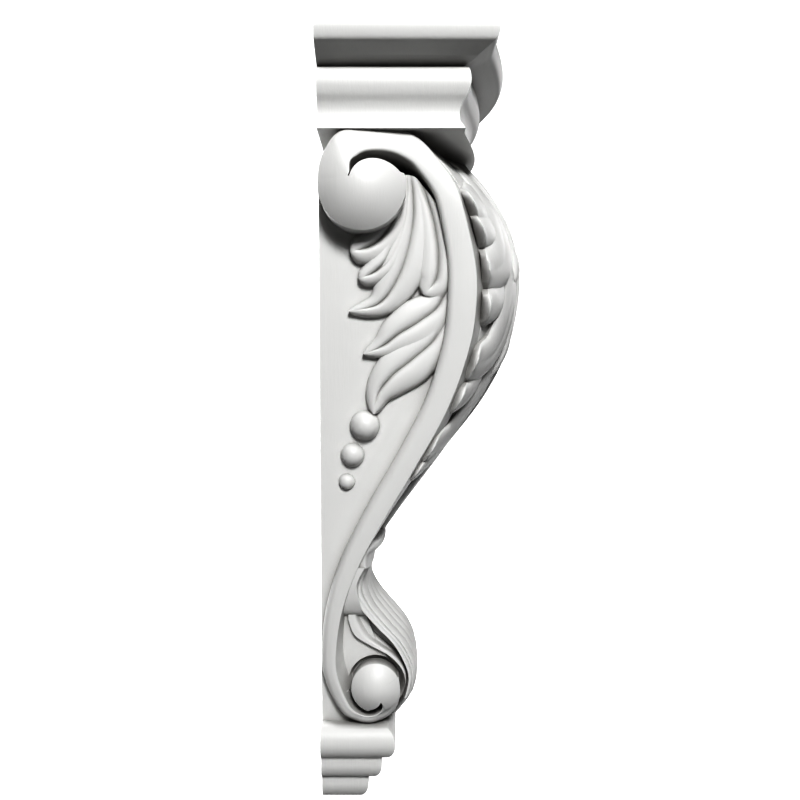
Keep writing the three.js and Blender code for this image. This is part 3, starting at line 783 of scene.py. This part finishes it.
class Look:  # the nodes of one material, or of the studio's surroundings
    def __init__(self, owner):
        owner.use_nodes = True
        self.owner, self.tree = owner, owner.node_tree

    def node(self, kind, settings=None, values=None, out=0):
        made = self.tree.nodes.new(kind)
        for key, value in (settings or {}).items():
            if key == "stops":
                ramp = made.color_ramp
                while len(ramp.elements) < len(value):
                    ramp.elements.new(0.5)
                for element, (position, level) in zip(ramp.elements, value):
                    element.position, element.color = position, (level, level, level, 1)
            else:
                setattr(made, key, value)
        for key, value in (values or {}).items():
            self.set(made.inputs[key], value)
        return Wire(self.tree, made.outputs[out])

    def set(self, socket, value):
        if isinstance(value, Wire):
            self.tree.links.new(value.socket, socket)
        else:
            socket.default_value = value

    def finish(self, name, values):  # sets the sockets of the closing shader
        for key, value in values.items():
            self.set(self.tree.nodes[name].inputs[key], value)


paint = {
    "colour": (0.82, 0.82, 0.81, 1),
    "dustAndShade": (0.3, 0.295, 0.285, 1),  # dust and old paint in the carving, together with painted shade that darkens its hollows
    "rubbed": (0.92, 0.92, 0.91, 1),
    "roughness": 0.42, "cloudRoughness": 0.16, "grainRoughness": 0.08,
    # wood grain and brush marks run up and down, and clouds vary the paint: scale and detail of each noise
    "grainScale": (260, 260, 9), "grainDetail": 6, "grainHarshness": 0.62,
    "brushScale": (900, 900, 60), "brushDetail": 3,
    "cloudScale": 14, "cloudDetail": 4,
    "grain": 0.25, "brush": 0.15, "cloud": 0.2,  # share of each in the relief
    "relief": 0.5, "reliefHeight": 0.001,
    # how far off a crevice or an edge is felt, in metres, the ramp that shows it, and how strongly; the
    # crevice darkening is partly dust and partly painted shade
    "dustAndShadeReach": 0.018, "dustAndShadeRamp": [(0.3, 1), (0.85, 0)], "dustAndShadeShow": 0.45, "dustAndShadeCloud": 0.6,
    "edgeReach": 0.004, "edgeRamp": [(0.45, 1), (0.8, 0)], "edgeCloud": 0.6,
    "samples": 8,
}


def paintedWood():
    look = Look(bpy.data.materials.new("paintedWood"))
    place = look.node("ShaderNodeNewGeometry", out="Position")

    def noise(scale, values):
        spot = look.node("ShaderNodeMapping", {}, {"Vector": place, "Scale": scale})
        return look.node("ShaderNodeTexNoise", {}, {"Vector": spot, "Scale": 1, **values})

    def mix(factor, a, b):
        return look.node("ShaderNodeMix", {"data_type": "RGBA"}, {"Factor": factor, "A": a, "B": b}, out=2)

    def ramp(stops, value):
        return look.node("ShaderNodeValToRGB", {"stops": stops}, {"Fac": value})

    def openness(reach, inside):
        settings = {"samples": paint["samples"], "only_local": True, "inside": inside}
        return look.node("ShaderNodeAmbientOcclusion", settings, {"Distance": reach}, out="AO")

    grain = noise(paint["grainScale"], {"Detail": paint["grainDetail"], "Roughness": paint["grainHarshness"]})
    brush = noise(paint["brushScale"], {"Detail": paint["brushDetail"]})
    cloud = look.node("ShaderNodeTexNoise", {}, {
        "Vector": place, "Scale": paint["cloudScale"], "Detail": paint["cloudDetail"],
    })
    # painted shade with dust: ambient occlusion darkens the paint in the carving's hollows, creases and
    # undersides, where shade falls
    dustAndShade = ramp(paint["dustAndShadeRamp"], openness(paint["dustAndShadeReach"], False))
    edge = ramp(paint["edgeRamp"], openness(paint["edgeReach"], True))
    dustAndShadeAmount = dustAndShade * (cloud * paint["dustAndShadeCloud"] + paint["dustAndShadeShow"])
    tone = mix(dustAndShadeAmount, paint["colour"], paint["dustAndShade"])
    tone = mix(edge * cloud * paint["edgeCloud"], tone, paint["rubbed"])
    height = grain * paint["grain"] + brush * paint["brush"] + cloud * paint["cloud"]
    bump = look.node("ShaderNodeBump", {}, {
        "Strength": paint["relief"], "Distance": paint["reliefHeight"], "Height": height,
    })
    look.finish("Principled BSDF", {
        "Base Color": tone,
        "Roughness": cloud * paint["cloudRoughness"] + paint["roughness"] - grain * paint["grainRoughness"],
        "Normal": bump,
    })
    return look.owner


corbel.data.materials.clear()
corbel.data.materials.append(paintedWood())
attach(corbel, "root")
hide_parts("corbel")
print("paint done")


studio = {
    "floor": (0.7, 0.7, 0.7, 1), "floorRoughness": 0.9, "floorReach": 12,
    "floorGap": 0.0004,  # between the floor and the base
    "glow": 0.75,
    "camera": (-0.6921, -0.0624, 0.01556),
    "lens": 36, "sensor": 36,
    "view": "Standard", "contrast": "Very High Contrast", "gamma": 0.85,
    "backdrop": (0.84, 0.84, 0.84, 1),
    # brightness of the light all round: straight down is 0, the horizon 0.5 and straight up 1
    "surround": [(0.44, 0.01), (0.5, 0.04), (0.75, 0.07), (0.9, 0.06)],
    "aim": (0, -0.05, 0),  # what the lamps point at
    # name, place, size and power
    "lamps": [
        ("key", (-2, -0.4, 1.4), 0.7, 38),
        ("top", (-0.3, -0.2, 1.4), 0.5, 1),
        ("farFront", (1.1, -0.95, 0.5), 0.6, 2.6),
        ("farBack", (0.9, 1.2, 0.5), 0.6, 17),
    ],
}


def makeFloor():
    mesh = bpy.data.meshes.new("floor")
    low = -middleOfHeight * millimetre - studio["floorGap"]
    reach = studio["floorReach"]
    corners = [(-reach, -reach, low), (reach, -reach, low), (reach, reach, low), (-reach, reach, low)]
    mesh.from_pydata(corners, [], [(0, 1, 2, 3)])
    floor = bpy.data.objects.new("floor", mesh)
    bpy.context.collection.objects.link(floor)
    look = Look(bpy.data.materials.new("floorPaper"))
    look.finish("Principled BSDF", {
        "Base Color": studio["floor"], "Roughness": studio["floorRoughness"],
        "Emission Color": (1, 1, 1, 1), "Emission Strength": studio["glow"],
    })
    mesh.materials.append(look.owner)
    floor.visible_diffuse = False  # the pale floor doesn't light the undersides


def makeLamp(name, spot, size, power):
    light = bpy.data.lights.new(name, "AREA")
    light.shape = "SQUARE"
    light.size, light.energy = size, power
    lamp = bpy.data.objects.new(name, light)
    lamp.location = spot
    lamp.rotation_euler = (Vector(studio["aim"]) - Vector(spot)).to_track_quat("-Z", "Y").to_euler()
    bpy.context.collection.objects.link(lamp)


def makeSurround():  # soft light from all round, with a plain pale background behind the corbel
    look = Look(bpy.data.worlds.new("studio"))
    way = look.node("ShaderNodeTexCoord", out="Generated")
    climb = look.node("ShaderNodeSeparateXYZ", {}, {"Vector": way}, out="Z")
    light = look.node("ShaderNodeValToRGB", {"stops": studio["surround"]}, {"Fac": climb * 0.5 + 0.5})
    seen = look.node("ShaderNodeLightPath", out="Is Camera Ray")
    tone = look.node(
        "ShaderNodeMix", {"data_type": "RGBA"}, {"Factor": seen, "A": light, "B": studio["backdrop"]}, out=2,
    )
    look.finish("Background", {"Color": tone})
    bpy.context.scene.world = look.owner


def makeCamera():
    eye = bpy.data.cameras.new("camera")
    eye.lens, eye.sensor_width = studio["lens"], studio["sensor"]
    camera = bpy.data.objects.new("camera", eye)
    camera.location = studio["camera"]
    camera.rotation_euler = (math.pi / 2, 0, -math.pi / 2)
    bpy.context.collection.objects.link(camera)
    bpy.context.scene.camera = camera


def setView():
    view = bpy.context.scene.view_settings
    view.view_transform = studio["view"]
    view.look = studio["contrast"]
    view.gamma = studio["gamma"]


makeFloor()
for row in studio["lamps"]:
    makeLamp(*row)
makeSurround()
makeCamera()
setView()
print("studio done")
